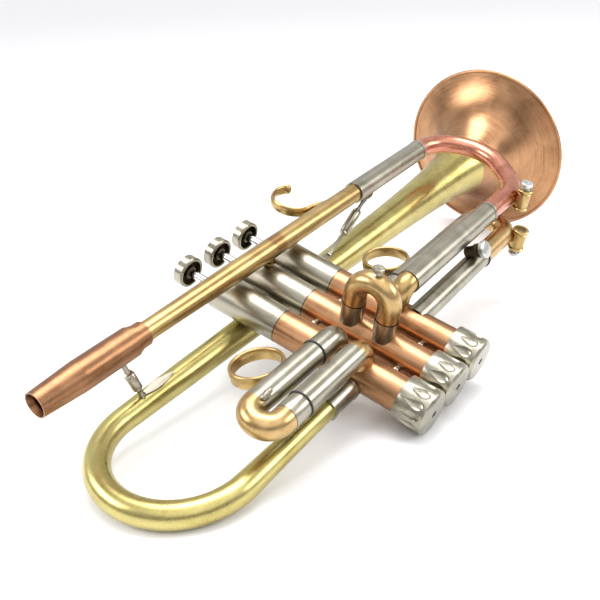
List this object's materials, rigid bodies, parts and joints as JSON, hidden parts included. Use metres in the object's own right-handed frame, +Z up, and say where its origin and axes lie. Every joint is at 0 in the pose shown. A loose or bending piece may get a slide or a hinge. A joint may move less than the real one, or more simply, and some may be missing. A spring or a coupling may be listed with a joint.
{
  "type": "three-valve trumpet",
  "caption": "Three-valve brass wind instrument with flared bell, folded tubing, pull-out tuning slides with finger rings, push water keys and a mouthpiece socket.",
  "frame": {"origin": "centre of the bounding box at the level of the surface the instrument lies on", "axes": "+Z up, +X towards the bell seen from above"},
  "size_m": [0.4572, 0.192, 0.1326],
  "materials": {
    "bronze": "satin bronze",
    "gold_brass": "satin gold brass",
    "yellow_brass": "satin yellow brass",
    "copper": "satin copper",
    "rose_copper": "satin rose copper",
    "nickel_silver": "brushed nickel silver",
    "monel": "lapped",
    "dark_brass": "darkened",
    "rubber": "matte"
  },
  "bodies": {
    "trumpet": {"mouthpiece_receiver": "bronze", "leadpipe": "gold_brass", "upper_tuning_sleeve": "nickel_silver", "lower_tuning_sleeve": "nickel_silver", "inlet_elbow": "gold_brass", "bell_stem": "yellow_brass", "bell_flare": "copper", "bell_rim_wire": "copper", "bell_bow": "yellow_brass", "bell_tail_ferrule": "nickel_silver", "receiver_brace": "nickel_silver", "receiver_brace_barrel": "nickel_silver", "bell_brace": "nickel_silver", "bell_brace_barrel": "nickel_silver", "leadpipe_brace": "gold_brass", "pinky_hook": "gold_brass", "casing_knuckles": "nickel_silver", "lyre_holder": "dark_brass", "slide_1_inner_leg": "nickel_silver", "slide_1_lower_knuckle": "gold_brass", "slide_1_lower_sleeve": "nickel_silver", "slide_2_sleeves": "nickel_silver", "slide_3_inner_leg": "nickel_silver", "slide_3_lower_sleeve": "nickel_silver", "upper_casing_1": "nickel_silver", "upper_casing_2": "nickel_silver", "upper_casing_3": "nickel_silver", "lower_casing_1": "copper", "lower_casing_2": "copper", "lower_casing_3": "copper", "top_cap_1": "nickel_silver", "top_cap_2": "nickel_silver", "top_cap_3": "nickel_silver", "bottom_cap_1": "nickel_silver", "bottom_cap_2": "nickel_silver", "bottom_cap_3": "nickel_silver"},
    "main_tuning_slide": {"tuning_crook": "rose_copper", "water_key_1_barrel": "gold_brass"},
    "water_key_1": {"water_key_1_plunger": "nickel_silver"},
    "water_key_2": {"water_key_2_plunger": "nickel_silver"},
    "first_valve_slide": {"slide_1_crook": "gold_brass", "slide_1_upper_sleeve": "nickel_silver", "slide_1_ring": "gold_brass", "slide_1_cushions": "rubber", "slide_1_stop_rod": "nickel_silver"},
    "second_valve_slide": {"slide_2_crook": "gold_brass", "slide_2_knob": "nickel_silver"},
    "third_valve_slide": {"slide_3_crook": "gold_brass", "slide_3_upper_sleeve": "nickel_silver", "slide_3_ring": "gold_brass", "slide_3_cushions": "rubber", "water_key_2_barrel": "gold_brass"},
    "lyre_screw": {"lyre_screw": "nickel_silver"},
    "valve_1": {"piston_1": "monel", "finger_button_1": "nickel_silver"},
    "valve_2": {"piston_2": "monel", "finger_button_2": "nickel_silver"},
    "valve_3": {"piston_3": "monel", "finger_button_3": "nickel_silver"}
  },
  "joints": [
    {"name": "valve_1_press", "type": "slide", "parent": "trumpet", "child": "valve_1", "axis": [0.0345, -0.9599, -0.278], "range_m": [0, 0.0155], "stiffness_N_per_m": 220, "springref_m": -0.006},
    {"name": "valve_2_press", "type": "slide", "parent": "trumpet", "child": "valve_2", "axis": [0.0345, -0.9599, -0.278], "range_m": [0, 0.0155], "stiffness_N_per_m": 220, "springref_m": -0.006},
    {"name": "valve_3_press", "type": "slide", "parent": "trumpet", "child": "valve_3", "axis": [0.0345, -0.9599, -0.278], "range_m": [0, 0.0155], "stiffness_N_per_m": 220, "springref_m": -0.006},
    {"name": "main_slide_pull", "type": "slide", "parent": "trumpet", "child": "main_tuning_slide", "axis": [0.9924, 0, 0.1232], "range_m": [0, 0.03]},
    {"name": "first_slide_pull", "type": "slide", "parent": "trumpet", "child": "first_valve_slide", "axis": [-0.9924, 0, -0.1232], "range_m": [0, 0.025]},
    {"name": "second_slide_pull", "type": "slide", "parent": "trumpet", "child": "second_valve_slide", "axis": [-0.1182, -0.2802, 0.9526], "range_m": [0, 0.007]},
    {"name": "third_slide_pull", "type": "slide", "parent": "trumpet", "child": "third_valve_slide", "axis": [0.9924, 0, 0.1232], "range_m": [0, 0.03]},
    {"name": "water_key_1_press", "type": "slide", "parent": "main_tuning_slide", "child": "water_key_1", "axis": [0.1182, 0.2802, -0.9526], "range_m": [0, 0.0018], "stiffness_N_per_m": 400, "springref_m": -0.001},
    {"name": "water_key_2_press", "type": "slide", "parent": "third_valve_slide", "child": "water_key_2", "axis": [-0.1182, -0.2802, 0.9526], "range_m": [0, 0.0018], "stiffness_N_per_m": 400, "springref_m": -0.001},
    {"name": "lyre_screw_turn", "type": "hinge", "parent": "trumpet", "child": "lyre_screw", "pos_m": [0.03162, -0.05011, 0.05118], "axis": [-0.0434, -0.9359, 0.3496], "range_deg": [0, 180]}
  ]
}
